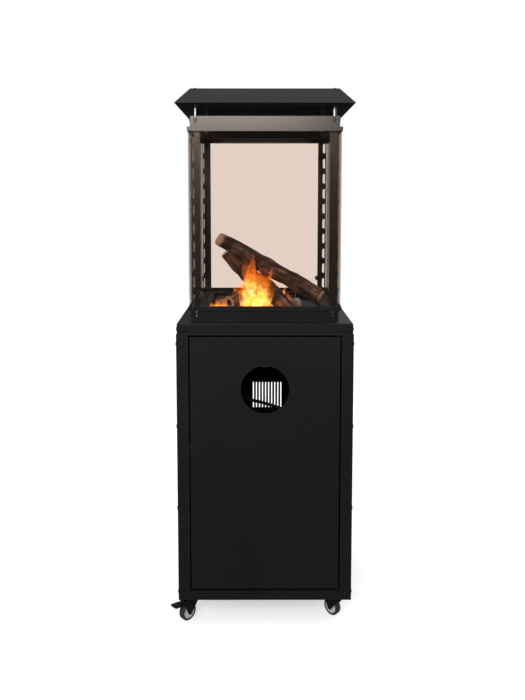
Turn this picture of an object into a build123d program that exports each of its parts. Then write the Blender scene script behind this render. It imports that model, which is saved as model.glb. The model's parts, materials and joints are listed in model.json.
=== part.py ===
from build123d import *
import math
import os

# Patio gas heater: a wheeled sheet steel cabinet for a gas bottle, with a glazed
# lantern on top in which a log fire burns under a hip roof.
# Millimetres. Origin on the floor under the middle of the cabinet, +Z up, front at -Y.

# Clearances
fit = 0.5            # loose fit between sheet parts
run = 0.05           # radial play of a pin or shaft in its hole
seat = 0.3           # gap between a moving piece and what it rests against

# Cabinet
cabinet_width = 490.0
cabinet_depth = 490.0
cabinet_height = 764.0
sheet = 2.0
castor_height = 73.0
cover_skirt = 30.0
stile_width = 33.0
stile_lip = 20.0
rail_height = 26.5
wrap_flange = 30.0
panel_return = 21.0
cover_hole = 60.0
sheet_bend = 1.5

# Rear vents
vent_count = 10
vent_pitch = 10.6
vent_width = 3.6
vent_height = 90.0
vent_center_x = 10.0
vent_center_height = 458.0

# Floor vents of the bottle shelf
floor_vent_count = 7
floor_vent_pitch = 24.0
floor_vent_length = 90.0
floor_vent_width = 8.0
shelf_seat_d = 320.0
shelf_seat_rise = 1.0

# Door
door_sheet = 1.5
door_depth = 16.0
door_gap_side = 4.0
door_gap_bottom = 7.5
door_gap_top = 8.0
hand_hole = 135.0
hand_hole_height = 609.0
hand_hole_roll = 5.0
hinge_pin = 5.0
hinge_edge = 5.0
hinge_setback = 6.5
hinge_shoulder = 9.0
hinge_reach = 6.0
magnet_size = (15.0, 14.0, 44.0)
magnet_height = 400.0

# Bolts of the cabinet
bolt_d = 6.0
bolt_head_d = 12.0
bolt_head_h = 3.0
nut_d = 10.0
nut_h = 4.0
bolt_inset = 17.0
bolt_rows_low = (18.0, 265.0)
bolt_rows_high = (263.0, 29.0)
bolt_row_cover = 13.0
bracket_leg = 26.0
bracket_height = 68.0

# Castors
castor_x = 210.0
castor_y = 205.0
castor_plate = 60.0
castor_plate_t = 2.5
castor_bolt_grid = 22.0
castor_trail = 18.0
wheel_d = 50.0
tyre_width = 18.0
tyre_wall = 7.0
hub_bore = 6.1
hub_boss_d = 14.0
hub_web = 4.0
axle_d = 6.0
fork_gap = 23.0
fork_t = 2.0
fork_disc_d = 40.0
fork_top_t = 5.0
boss_d = 28.0
boss_h = 3.5
kingpin_d = 8.0
pedal_pivot_x = 30.0
pedal_pivot_z = 54.0
pedal_pin = 4.0
pedal_boss = 9.0
pedal_reach = 70.5
pedal_width = 26.0
pedal_t = 3.5
pedal_rise = 5.0
pedal_press = 15.0
shoe_length = 6.0
shoe_drop = 7.5
castor_turn = {"front_left": 225.0, "front_right": 135.0, "rear_left": 315.0, "rear_right": 45.0}
castor_side = {"front_left": (-1, -1), "front_right": (1, -1), "rear_left": (-1, 1), "rear_right": (1, 1)}
braked_castors = ("front_left", "rear_right")

# Lantern
box_width = 411.0
box_height = 31.0
box_flange_low = 15.5
box_flange_top = 35.5
rim_width = 426.0
rim_height = 12.0
lower_rim_opening = 364.0
upper_rim_opening = 354.0
gusset_leg = 45.0
glass_t = 4.0
glass_play = 0.5
lantern_height = 507.0
post_flange = 25.0
slot_count = 10
slot_pitch = 49.8
slot_length = 31.0
slot_reach = 9.0
slot_corner = 5.0
collar_height = 29.0
collar_flange = 17.5
post_top_gap = 2.0
bumper_width = 12.0
bumper_height = 17.0
bumper_overhang = 8.0
bumper_rise = 25.0

# Roof
roof_width = 487.0
roof_top_width = 407.0
roof_height = 43.5
roof_gap = 31.0
roof_sheet = 1.5
roof_post_d = 8.0
roof_post_inset = 14.5
roof_post_thread = 12.0

# Lantern screws
screw_d = 5.0
screw_head_d = 10.0
screw_head_h = 2.6
screw_nut_d = 8.0
screw_nut_h = 3.0
screw_edge = 13.5
screw_rows_base = (14.0, 25.0)
screw_row_collar = 19.0
spare_hole_drop = 10.0
tray_screw_inset = 5.5

# Burner tray and burner
tray_flange = 16.0
tray_sheet = 1.5
tray_depth = 20.0
burner_length = 220.0
burner_width = 70.0
burner_height = 22.0
burner_sheet = 1.2
burner_inlet_d = 16.0
burner_inlet_drop = 4.0
port_d = 3.0
port_columns = 15
port_rows = 3
port_pitch = 13.0
port_row_pitch = 20.0

# Pilot
pilot_x = 84.0
pilot_y = 54.0
pilot_tube_d = 9.0
pilot_tube_h = 26.0
pilot_pitch = 13.0
pilot_probe_d = 5.0
pilot_probe_h = 34.0
pilot_plate = (44.0, 16.0, 2.0)

# Hollow in the foot of the left log
log_hollow_d = 18.0
log_hollow_depth = 18.0

# Controls behind the door
panel_width = 190.0
panel_setback = 40.0
panel_drop = 127.0
panel_flange = 30.0
knob_drop = 109.0
knob_d = 40.0
knob_skirt = 4.0
knob_grip_d = 32.0
knob_length = 22.0
knob_bore_depth = 16.0
knob_travel = 5.0
knob_gap = 1.0
spindle_d = 8.0
spindle_seat = 14.0
valve_size = (50.0, 48.0, 42.0)
valve_nose_d = 16.0
valve_inlet_d = 16.0
valve_inlet_length = 25.0
valve_inlet_setback = 28.0
igniter_x = 62.0
igniter_drop = 90.0
igniter_flange_d = 24.0
igniter_flange_t = 3.0
igniter_barrel_d = 19.0
igniter_barrel_length = 42.0
igniter_button_d = 13.0
igniter_button_out = 8.0
igniter_button_in = 10.0
igniter_travel = 6.0
pipe_d = 8.0
pipe_bend = 25.0
pipe_back = 33.0
pipe_level = 37.0

# Regulator, parked on a slotted tab of the right side panel
park_height = 577.0
park_x = 208.0
park_y = 60.0
park_tab_width = 50.0
park_tab_reach = 22.0
park_slot = 17.0
neck_d = 14.0
nut_across = 30.0
union_height = 17.0
union_base = 4.0
union_thread_d = 20.0
union_recess_d = 17.0
union_recess = 2.6
nose_d = 16.0
nose_height = 1.9
neck_drop = 12.0
regulator_d = 62.0
regulator_t = 28.0
regulator_cap_d = 44.0
regulator_cap_t = 7.0
outlet_d = 15.0
outlet_length = 16.0

# Gas hose
hose_d = 11.0

# Heights and half widths that follow
half_x = cabinet_width / 2
half_y = cabinet_depth / 2
z_cabinet = castor_height
z_frame = z_cabinet + cabinet_height
z_cover = z_frame + cover_skirt
z_box = z_cover + box_height
z_glass_low = z_box + sheet
z_rim_low = z_box + rim_height
z_rim_high = z_box + lantern_height
z_glass_high = z_rim_high - sheet
z_collar = z_rim_high + collar_height
z_roof = z_collar + roof_gap
z_roof_top = z_roof + roof_height
half_box = box_width / 2
half_rim = rim_width / 2
half_post = half_box - sheet
glass_outer = half_rim - sheet - glass_play
glass_inner = glass_outer - glass_t
rim_inner_lip = glass_inner - glass_play
z_tray = z_box - tray_depth
tray_outer = lower_rim_opening / 2 - fit
tray_wall = tray_outer - tray_flange
door_half = half_x - stile_width - door_gap_side
z_door_low = z_cabinet + rail_height + door_gap_bottom
z_door_high = z_frame - door_gap_top
hinge_x = door_half - hinge_edge
hinge_y = -half_y + hinge_setback
z_hand_hole = z_cabinet + hand_hole_height
roof_post_xy = half_box - roof_post_inset
wheel_r = wheel_d / 2
panel_y = -half_y + panel_setback
knob_z = z_cover - knob_drop
igniter_z = z_cover - igniter_drop
z_floor = z_cabinet + sheet
corners = ((-1, -1), (1, -1), (-1, 1), (1, 1))


def block(x0, x1, y0, y1, z0, z1):
    """A box between two corners, given in any order."""
    size = (abs(x1 - x0), abs(y1 - y0), abs(z1 - z0))
    return Pos((x0 + x1) / 2, (y0 + y1) / 2, (z0 + z1) / 2) * Box(*size)


def rod_x(x0, x1, y, z, d):
    return Pos((x0 + x1) / 2, y, z) * Rot(0, 90, 0) * Cylinder(d / 2, abs(x1 - x0))


def rod_y(x, y0, y1, z, d):
    return Pos(x, (y0 + y1) / 2, z) * Rot(90, 0, 0) * Cylinder(d / 2, abs(y1 - y0))


def rod_z(x, y, z0, z1, d):
    return Pos(x, y, (z0 + z1) / 2) * Cylinder(d / 2, abs(z1 - z0))


def square_ring(outer, inner, z0, z1):
    """A square frame between two half widths."""
    return block(-outer, outer, -outer, outer, z0, z1) - block(-inner, inner, -inner, inner, z0, z1)


def group(solids):
    """Separate solids that share one node."""
    return Compound(children=[piece for solid in solids for piece in solid.solids()])


def dome_screw(head_d, head_h, shank_d, grip, nut_size, nut_height):
    """Dome head above z = 0, shank and nut below."""
    head = Cylinder(head_d / 2, head_h, align=(Align.CENTER, Align.CENTER, Align.MIN))
    rim = head.edges().group_by(Axis.Z)[-1]
    head = fillet(rim, head_h * 0.85)
    shank = Pos(0, 0, -(grip + nut_height) / 2) * Cylinder(shank_d / 2, grip + nut_height)
    nut = Pos(0, 0, -grip - nut_height) * extrude(RegularPolygon(nut_size / 2, 6), nut_height)
    return head + shank + nut


def aimed(solid, x, y, z, direction):
    """Places a solid made along +Z so that it points along a direction."""
    return Plane(origin=(x, y, z), z_dir=direction) * solid


# Where the bolts of the cabinet go: position of the head's seat, outward direction, grip
def cabinet_bolt_places():
    places = []
    z_cover_row = z_frame + bolt_row_cover
    for side_x, side_y in corners:
        y = side_y * (half_y - bolt_inset)
        x = side_x * (half_x - bolt_inset)
        places.append((side_x * (half_x - sheet), y, z_cover_row, (side_x, 0, 0), 2 * sheet))
        places.append((x, side_y * (half_y - sheet), z_cover_row, (0, side_y, 0), 2 * sheet))
        rows = [z_cabinet + row for row in bolt_rows_low] + [z_frame - row for row in bolt_rows_high]
        for index, z in enumerate(rows):
            at_end = index in (0, len(rows) - 1)
            grip = 3 * sheet if at_end else 2 * sheet
            places.append((side_x * half_x, y, z, (side_x, 0, 0), grip))
            if at_end:
                places.append((x, side_y * half_y, z, (0, side_y, 0), grip))
    return places


def castor_bolt_places():
    z = z_cabinet - castor_plate_t
    offsets = [(i * castor_bolt_grid, j * castor_bolt_grid) for i, j in corners]
    centers = [(i * castor_x, j * castor_y) for i, j in corners]
    grip = castor_plate_t + sheet
    return [(x + dx, y + dy, z, (0, 0, -1), grip) for x, y in centers for dx, dy in offsets]


def lantern_screw_places():
    """Screws through base box or collar and a post."""
    rows = [z_cover + row for row in screw_rows_base] + [z_rim_high + screw_row_collar]
    across = half_post - screw_edge
    places = []
    for side_x, side_y in corners:
        for z in rows:
            places.append((side_x * half_box, side_y * across, z, (side_x, 0, 0), 2 * sheet))
            places.append((side_x * across, side_y * half_box, z, (0, side_y, 0), 2 * sheet))
    return places


def tray_screw_places():
    reach = tray_outer - tray_screw_inset
    z = z_box + tray_sheet
    return [(x * reach, y * reach, z, (0, 0, 1), tray_sheet + sheet)
            for x, y in ((-1, 0), (1, 0), (0, -1), (0, 1))]


def drill(solid, places, hole_d, reach=12.0):
    """Cuts clearance holes along the given screws."""
    cutter = Cylinder(hole_d / 2, 2 * reach)
    return solid - [aimed(cutter, x, y, z, way) for x, y, z, way, grip in places]


cabinet_bolts = cabinet_bolt_places()
castor_bolts = castor_bolt_places()
lantern_screws = lantern_screw_places()
tray_screws = tray_screw_places()
bolt_hole = bolt_d + fit
screw_hole = screw_d + fit


# Cabinet

def make_door_frame():
    """Front frame: two stiles with side wraps, a bottom rail and a top rail."""
    opening = half_x - stile_width
    front = -half_y
    pieces = []
    for side in (-1, 1):
        pieces.append(block(side * opening, side * half_x, front, front + sheet, z_cabinet, z_frame))
        pieces.append(block(side * (half_x - sheet), side * half_x, front, front + wrap_flange,
                            z_cabinet, z_frame))
        pieces.append(block(side * opening, side * (opening + sheet), front, front + stile_lip,
                            z_cabinet + rail_height - sheet, z_frame))
    rail_top = z_cabinet + rail_height
    pieces.append(block(-opening, opening, front, front + sheet, z_cabinet, rail_top))
    pieces.append(block(-opening, opening, front, front + stile_lip, rail_top - sheet, rail_top))
    pieces.append(block(-opening, opening, front, front + 2 * sheet, z_cabinet, z_floor))
    pieces.append(block(-opening, opening, front + sheet, front + stile_lip, z_frame - sheet, z_frame))
    frame = pieces[0] + pieces[1:]
    frame = frame - rod_z(hinge_x, hinge_y, z_cabinet + sheet, z_frame + sheet, hinge_pin)
    bends = frame.edges().filter_by(Axis.Z).filter_by_position(Axis.Y, front - run, front + run)
    frame = fillet([e for e in bends if abs(abs(e.center().X) - half_x) < fit], sheet_bend)
    return drill(frame, cabinet_bolts, bolt_hole)


def make_side_panel(side):
    outer = side * (half_x - sheet)
    inner = side * (half_x - 2 * sheet)
    reach = half_y - sheet
    panel = block(inner, outer, -reach, reach, z_cabinet, z_frame)
    for end in (-1, 1):
        panel += block(side * (half_x - sheet - panel_return), outer, end * reach,
                       end * (reach - sheet), z_cabinet, z_frame)
    if side > 0:
        panel += make_parking_tab()
    return drill(panel, cabinet_bolts, bolt_hole)


def make_parking_tab():
    """Slotted tab that holds the regulator by its neck when no bottle is fitted."""
    z_tab = z_cabinet + park_height
    inner_end = park_x - park_tab_reach
    tab = block(inner_end, half_x - sheet, park_y - park_tab_width / 2, park_y + park_tab_width / 2,
                z_tab - sheet, z_tab)
    slot = block(inner_end - fit, park_x, park_y - park_slot / 2, park_y + park_slot / 2,
                 z_tab - sheet - fit, z_tab + fit)
    return tab - slot - rod_z(park_x, park_y, z_tab - sheet - fit, z_tab + fit, park_slot)


def make_rear_panel():
    """Rear wall with side wraps and a row of upright vents."""
    rear = half_y
    panel = block(-half_x, half_x, rear - sheet, rear, z_cabinet, z_frame)
    for side in (-1, 1):
        panel += block(side * (half_x - sheet), side * half_x, rear - wrap_flange, rear,
                       z_cabinet, z_frame)
    panel += block(-half_x + wrap_flange, half_x - wrap_flange, rear - 2 * sheet, rear,
                   z_cabinet, z_floor)
    slot = Rot(90, 0, 0) * extrude(Rot(0, 0, 90) * SlotOverall(vent_height, vent_width), 4 * sheet)
    z_vent = z_cabinet + vent_center_height
    first = vent_center_x - vent_pitch * (vent_count - 1) / 2
    panel = panel - [Pos(first + i * vent_pitch, rear + sheet, z_vent) * slot for i in range(vent_count)]
    bends = panel.edges().filter_by(Axis.Z).filter_by_position(Axis.Y, rear - run, rear + run)
    panel = fillet([e for e in bends if abs(abs(e.center().X) - half_x) < fit], sheet_bend)
    return drill(panel, cabinet_bolts, bolt_hole)


def make_bottom_tray():
    """Bottle shelf: a tray with upturned walls, carried by the castors."""
    reach_x = half_x - 2 * sheet
    reach_y = half_y - 2 * sheet
    top = z_cabinet + rail_height - sheet - fit
    tray = block(-reach_x, reach_x, -reach_y, reach_y, z_cabinet, top)
    tray -= block(-reach_x + sheet, reach_x - sheet, -reach_y + sheet, reach_y - sheet, z_floor, top)
    tray += rod_z(0, 0, z_floor, z_floor + shelf_seat_rise, shelf_seat_d)
    vent = extrude(SlotOverall(floor_vent_length, floor_vent_width), 4 * sheet)
    first = -floor_vent_pitch * (floor_vent_count - 1) / 2
    vents = [Pos(0, first + i * floor_vent_pitch, z_cabinet - sheet) * vent
             for i in range(floor_vent_count)]
    return drill(drill(tray - vents, cabinet_bolts, bolt_hole), castor_bolts, bolt_hole)


def make_cabinet_cover():
    """Top of the cabinet, with a skirt on all sides."""
    reach_x = half_x - sheet
    reach_y = half_y - sheet
    cover = block(-reach_x, reach_x, -reach_y, reach_y, z_frame, z_cover)
    edges = cover.edges().filter_by(Axis.Z) + cover.edges().group_by(Axis.Z)[-1]
    cover = fillet(edges, sheet_bend)
    cover -= block(-reach_x + sheet, reach_x - sheet, -reach_y + sheet, reach_y - sheet,
                   z_frame, z_cover - sheet)
    cover -= rod_z(0, 0, z_frame, z_cover + sheet, cover_hole)
    return drill(cover, cabinet_bolts, bolt_hole)


def make_corner_brackets():
    """Angles inside the corners that join the cover to the panels."""
    outer_x = half_x - 2 * sheet
    outer_y = half_y - 2 * sheet
    z_high = z_cover - sheet - fit
    brackets = []
    for side_x, side_y in corners:
        leg_a = block(side_x * outer_x, side_x * (outer_x - sheet), side_y * outer_y,
                      side_y * (outer_y - bracket_leg), z_high - bracket_height, z_high)
        leg_b = block(side_x * outer_x, side_x * (outer_x - bracket_leg), side_y * outer_y,
                      side_y * (outer_y - sheet), z_high - bracket_height, z_high)
        brackets.append(drill(leg_a + leg_b, cabinet_bolts, bolt_hole))
    return group(brackets)


def make_bolts(places):
    solids = []
    for x, y, z, way, grip in places:
        bolt = dome_screw(bolt_head_d, bolt_head_h, bolt_d, grip, nut_d, nut_h)
        solids.append(aimed(bolt, x, y, z, way))
    return solids


# Door

def make_door_panel():
    """Pan door: a face sheet with folded edges and a rolled hand hole."""
    front = -half_y
    back = front + door_depth
    door = block(-door_half, door_half, front, back, z_door_low, z_door_high)
    edges = door.edges().group_by(Axis.Y)[0]
    door = fillet(edges, door_sheet * 0.8)
    door -= block(-door_half + door_sheet, door_half - door_sheet, front + door_sheet, back,
                  z_door_low + door_sheet, z_door_high - door_sheet)
    door += rod_y(0, front + door_sheet / 2, front + hand_hole_roll, z_hand_hole,
                  hand_hole + 2 * door_sheet)
    door -= rod_y(0, front - door_sheet, back, z_hand_hole, hand_hole)
    hole = rod_z(hinge_x, hinge_y, z_door_low - door_sheet, z_door_high + door_sheet,
                 hinge_pin + 2 * run)
    return door - hole


def make_door_pins():
    """Two upright hinge pins, fixed in the frame's rails."""
    rail_top = z_cabinet + rail_height
    lower = rod_z(hinge_x, hinge_y, rail_top - sheet, z_door_low + hinge_reach, hinge_pin)
    lower += rod_z(hinge_x, hinge_y, rail_top, z_door_low - seat, hinge_shoulder)
    upper = rod_z(hinge_x, hinge_y, z_door_high - hinge_reach, z_frame, hinge_pin)
    upper += rod_z(hinge_x, hinge_y, z_door_high + seat, z_frame - sheet, hinge_shoulder)
    return group([lower, upper])


def make_door_magnet():
    """Magnetic catch on the left stile, behind the door's folded edge."""
    width, depth, height = magnet_size
    x0 = -half_x + stile_width
    y0 = -half_y + door_depth + seat
    z0 = z_cabinet + magnet_height
    body = block(x0, x0 + width, y0, y0 + depth, z0, z0 + height)
    return fillet(body.edges().filter_by(Axis.X), 2.0)


# Castors, made with the swivel axis at x = y = 0 and the wheel trailing towards +X

def make_castor_plate():
    z_low = z_cabinet - castor_plate_t
    plate = block(-castor_plate / 2, castor_plate / 2, -castor_plate / 2, castor_plate / 2,
                  z_low, z_cabinet)
    plate = fillet(plate.edges().filter_by(Axis.Z), 5.0)
    z_boss = z_low - boss_h
    z_disc = z_boss - seat - fork_top_t
    plate += rod_z(0, 0, z_boss, z_low, boss_d)
    plate += rod_z(0, 0, z_disc - seat - fork_t, z_low, kingpin_d)
    plate += rod_z(0, 0, z_disc - seat - fork_t, z_disc - seat, kingpin_d * 1.75)
    return plate


def make_castor_fork(braked):
    """Swivel fork, with its axle as a second solid."""
    z_top = z_cabinet - castor_plate_t - boss_h - seat
    z_disc = z_top - fork_top_t
    half_gap = fork_gap / 2
    half_out = half_gap + fork_t
    disc = rod_z(0, 0, z_disc, z_top, fork_disc_d)
    web = block(-12.0, castor_trail + 6.0, -half_out, half_out, z_top - fork_t, z_top)
    outline = Polyline((-12.0, z_top), (castor_trail + 6.0, z_top),
                       (pedal_pivot_x + 5.0, pedal_pivot_z + 4.0),
                       (pedal_pivot_x + 5.0, pedal_pivot_z - 5.0),
                       (castor_trail + 7.0, wheel_r - 2.0), (castor_trail, wheel_r - 8.0),
                       (castor_trail - 7.0, wheel_r - 2.0), (-12.0, z_disc - 8.0), close=True)
    cheek = extrude(Plane.XZ * make_face(outline), fork_t)
    cheek = fillet(cheek.edges().filter_by(Axis.Y), 2.5)
    fork = disc + web + [Pos(0, -half_gap, 0) * cheek, Pos(0, half_out, 0) * cheek]
    fork -= rod_z(0, 0, z_disc - fork_t, z_top + fork_t, kingpin_d + 2 * run)
    fork -= rod_y(castor_trail, -half_out - fork_t, half_out + fork_t, wheel_r, axle_d + 2 * run)
    if braked:
        fork -= rod_y(pedal_pivot_x, -half_out - fork_t, half_out + fork_t, pedal_pivot_z,
                      pedal_pin + 2 * run)
    axle = rod_y(castor_trail, -half_out, half_out, wheel_r, axle_d)
    for side in (-1, 1):
        axle += rod_y(castor_trail, side * half_out, side * (half_out + fork_t), wheel_r,
                      axle_d * 1.6)
    return group([fork, axle])


def make_castor_tyre():
    ring = Cylinder(wheel_r, tyre_width) - Cylinder(wheel_r - tyre_wall, tyre_width)
    rims = ring.edges().filter_by(GeomType.CIRCLE).sort_by(SortBy.RADIUS)[-2:]
    return Pos(castor_trail, 0, wheel_r) * Rot(90, 0, 0) * fillet(rims, 3.5)


def make_castor_hub():
    outer = wheel_r - tyre_wall
    width = tyre_width - 2.0
    hub = Cylinder(outer, width) - Cylinder(outer - 3.0, width)
    hub += Cylinder(outer - 2.0, hub_web)
    hub += Cylinder(hub_boss_d / 2, fork_gap - 4 * seat)
    hub -= Cylinder(hub_bore / 2, fork_gap)
    return Pos(castor_trail, 0, wheel_r) * Rot(90, 0, 0) * hub


def make_castor_pedal():
    """Foot brake lever on its own cross pin."""
    half_gap = fork_gap / 2
    half_pin = half_gap + 2 * fork_t
    pedal = rod_y(pedal_pivot_x, -half_pin, half_pin, pedal_pivot_z, pedal_pin)
    pedal += rod_y(pedal_pivot_x, -half_gap + fit, half_gap - fit, pedal_pivot_z, pedal_boss)
    start = pedal_pivot_x + 1.0
    neck_end = pedal_pivot_x + 8.0
    neck = block(start, neck_end + 1.0, -half_gap + fit, half_gap - fit, pedal_pivot_z - pedal_t / 2,
                 pedal_pivot_z + pedal_t / 2)
    tilt = math.degrees(math.atan2(pedal_rise, pedal_reach - neck_end))
    length = pedal_reach - neck_end
    paddle = block(0, length, -pedal_width / 2, pedal_width / 2, -pedal_t / 2, pedal_t / 2)
    corners_out = paddle.edges().filter_by(Axis.Z).group_by(Axis.X)[-1]
    paddle = fillet(corners_out, 4.0)
    grips = [block(length - 6.0 - 5.0 * i, length - 4.0 - 5.0 * i, -pedal_width / 2 + 3.0,
                   pedal_width / 2 - 3.0, pedal_t / 2 - 0.5, pedal_t / 2 + 0.8) for i in range(4)]
    paddle = Pos(neck_end, 0, pedal_pivot_z) * Rot(0, -tilt, 0) * (paddle + grips)
    return pedal + neck + paddle + make_brake_shoe()


def make_brake_shoe():
    """Shoe under the pedal's boss, curved to meet the tyre when the pedal is down."""
    x0 = pedal_pivot_x - fit
    shoe = block(x0, x0 + shoe_length, -tyre_width / 2, tyre_width / 2, pedal_pivot_z - shoe_drop,
                 pedal_pivot_z)
    tyre = rod_y(castor_trail, -tyre_width, tyre_width, wheel_r, wheel_d + 2 * seat)
    pressed = (Pos(pedal_pivot_x, 0, pedal_pivot_z) * Rot(0, -pedal_press, 0)
               * Pos(-pedal_pivot_x, 0, -pedal_pivot_z))
    return shoe - pressed * tyre


def placed_castor(solid, name):
    side_x, side_y = castor_side[name]
    return Pos(side_x * castor_x, side_y * castor_y, 0) * Rot(0, 0, castor_turn[name]) * solid


# Lantern

def post_room(z0, z1):
    """The space the four corner posts need where they pass a plate."""
    room = []
    outer = half_post + seat
    inner = half_post - sheet - seat
    for side_x, side_y in corners:
        end = half_post - post_flange - seat
        room.append(block(side_x * inner, side_x * outer, side_y * end, side_y * outer, z0, z1))
        room.append(block(side_x * end, side_x * outer, side_y * inner, side_y * outer, z0, z1))
    return room


def make_base_box():
    box = square_ring(half_box, half_box - sheet, z_cover, z_box)
    box = fillet(box.edges().filter_by(Axis.Z).group_by(SortBy.DISTANCE)[-1], sheet_bend)
    low = square_ring(half_box - sheet, half_box - box_flange_low, z_cover, z_cover + sheet)
    top = square_ring(half_box - sheet, half_box - box_flange_top, z_box - sheet, z_box)
    flanges = (low + top) - post_room(z_cover - sheet, z_box + sheet)
    return drill(drill(box + flanges, lantern_screws, screw_hole), tray_screws, screw_hole)


def make_rim(z_plate, lip, opening, gusset):
    """Glazing frame: a plate with two upright lips; lip is +1 for the lower frame."""
    z_end = z_plate + lip * sheet
    z_lip = z_plate + lip * rim_height
    rim = square_ring(half_rim, opening / 2, min(z_plate, z_end), max(z_plate, z_end))
    if gusset:
        inner = opening / 2
        outline = Polyline((inner, inner), (inner - gusset, inner), (inner, inner - gusset), close=True)
        corner = extrude(make_face(outline), sheet)
        z_low = min(z_plate, z_end)
        rim += [Pos(0, 0, z_low) * Rot(0, 0, 90 * i) * corner for i in range(4)]
    rim += square_ring(half_rim, half_rim - sheet, min(z_plate, z_lip), max(z_plate, z_lip))
    rim += square_ring(rim_inner_lip, rim_inner_lip - sheet, min(z_plate, z_lip), max(z_plate, z_lip))
    corner_edges = [e for e in rim.edges().filter_by(Axis.Z)
                    if abs(abs(e.center().X) - half_rim) < fit and abs(abs(e.center().Y) - half_rim) < fit]
    rim = fillet(corner_edges, sheet_bend)
    z0, z1 = sorted((z_plate - lip * sheet, z_plate + lip * 2 * sheet))
    rim -= post_room(z0, z1)
    return drill(rim, roof_foot_places(), screw_hole) if gusset else rim


def make_collar():
    collar = square_ring(half_box, half_box - sheet, z_rim_high, z_collar)
    collar = fillet(collar.edges().filter_by(Axis.Z).group_by(SortBy.DISTANCE)[-1], sheet_bend)
    flange = square_ring(half_box - sheet, half_box - collar_flange, z_rim_high, z_rim_high + sheet)
    flange -= post_room(z_rim_high - sheet, z_rim_high + 2 * sheet)
    collar = drill(collar + flange, lantern_screws, screw_hole)
    return drill(drill(collar, spare_holes(), screw_hole), roof_foot_places(), screw_hole)


def spare_holes():
    """Unused holes below the collar's screws."""
    z = z_rim_high + screw_row_collar
    return [(x, y, z - spare_hole_drop, way, grip) for x, y, height, way, grip in lantern_screws
            if height == z]


def roof_foot_places():
    """Screws from below into the roof posts."""
    return [(x * roof_post_xy, y * roof_post_xy, z_glass_high, (0, 0, -1), 2 * sheet)
            for x, y in corners]


def roof_head_places():
    return [(x * roof_post_xy, y * roof_post_xy, z_roof_top, (0, 0, 1), roof_sheet) for x, y in corners]


def post_slot():
    """One slot that straddles the bend: a rounded window in each flange, at the corner (0, 0)."""
    reach = slot_reach + 1.0
    window = Pos(reach / 2 - 1.0, 0) * Rectangle(reach, slot_length)
    window = fillet(window.vertices().group_by(Axis.X)[-1], slot_corner)
    cut = extrude(window, sheet + 2.0)
    in_front = Pos(0, sheet + 1.0, 0) * Rot(90, 0, 0) * cut
    in_side = Pos(-1.0, 0, 0) * Rot(90, 0, 90) * cut
    return in_front + in_side


def make_lantern_post(side_x, side_y):
    """Slotted corner angle from the cabinet's cover to the collar."""
    z_high = z_collar - post_top_gap
    post = block(0, post_flange, 0, sheet, z_cover, z_high)
    post += block(0, sheet, 0, post_flange, z_cover, z_high)
    z_middle = (z_rim_low + z_rim_high - rim_height) / 2
    first = z_middle - slot_pitch * (slot_count - 1) / 2
    slot = post_slot()
    post = post - [Pos(0, 0, first + i * slot_pitch) * slot for i in range(slot_count)]
    turn = {(-1, -1): 0, (1, -1): 90, (1, 1): 180, (-1, 1): 270}[(side_x, side_y)]
    post = Pos(side_x * half_post, side_y * half_post, 0) * Rot(0, 0, turn) * post
    return drill(drill(post, lantern_screws, screw_hole), spare_holes(), screw_hole)


def make_glass(way_x, way_y):
    """One pane, standing in the lower rim's channel."""
    z0, z1 = z_glass_low, z_glass_high - glass_play
    if way_x:
        return block(way_x * glass_inner, way_x * glass_outer, -glass_outer, glass_outer, z0, z1)
    side = glass_inner - glass_play
    return block(-side, side, way_y * glass_inner, way_y * glass_outer, z0, z1)


def make_glass_bumpers():
    """D-shaped rest pads between post and pane, one on each post."""
    edge = half_post - post_flange - bumper_overhang
    radius = bumper_height / 2
    flat = Pos(-edge - bumper_width + (bumper_width - radius) / 2, 0) * Rectangle(bumper_width - radius,
                                                                                   bumper_height)
    nose = Pos(-edge - radius, 0) * Circle(radius)
    half_plane = Pos(-edge - radius + bumper_width / 2, 0) * Rectangle(bumper_width, bumper_height)
    pad = extrude(flat + (nose & half_plane), glass_inner - half_post - seat)
    pad = Pos(0, -half_post, z_rim_low + bumper_rise + radius) * Rot(90, 0, 0) * pad
    return group([Rot(0, 0, 90 * i) * pad for i in range(4)])


def pyramid(half_low, half_high, z0, z1):
    low = Pos(0, 0, z0) * Rectangle(2 * half_low, 2 * half_low)
    high = Pos(0, 0, z1) * Rectangle(2 * half_high, 2 * half_high)
    return loft([low.face(), high.face()])


def make_roof():
    """Hip roof of thin sheet, open below."""
    slope = (roof_width - roof_top_width) / 2 / roof_height
    side_wall = roof_sheet * math.sqrt(1 + slope * slope)
    z_low = z_roof - roof_sheet
    extra = slope * roof_sheet
    shell = pyramid(roof_width / 2, roof_top_width / 2, z_roof, z_roof_top)
    shell = fillet(shell.edges().group_by(Axis.Z)[-1], sheet_bend)
    inner_top = roof_top_width / 2 + slope * roof_sheet - side_wall
    shell -= pyramid(roof_width / 2 + extra - side_wall, inner_top, z_low, z_roof_top - roof_sheet)
    return drill(shell, roof_head_places(), screw_hole)


def make_roof_posts():
    posts = []
    z0, z1 = z_rim_high + sheet, z_roof_top - roof_sheet
    for side_x, side_y in corners:
        x, y = side_x * roof_post_xy, side_y * roof_post_xy
        post = rod_z(x, y, z0, z1, roof_post_d)
        thread = screw_d + 2 * run
        post -= rod_z(x, y, z0, z0 + roof_post_thread, thread)
        post -= rod_z(x, y, z1 - roof_post_thread, z1, thread)
        posts.append(post)
    return group(posts)


def make_lantern_screws():
    solids = []
    for x, y, z, way, grip in lantern_screws + tray_screws:
        screw = dome_screw(screw_head_d, screw_head_h, screw_d, grip, screw_nut_d, screw_nut_h)
        solids.append(aimed(screw, x, y, z, way))
    for x, y, z, way, grip in roof_foot_places() + roof_head_places():
        reach = grip + roof_post_thread - 2.0
        screw = dome_screw(screw_head_d, screw_head_h, screw_d, reach, screw_d, 1.0)
        solids.append(aimed(screw, x, y, z, way))
    return group(solids)


# Burner

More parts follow.
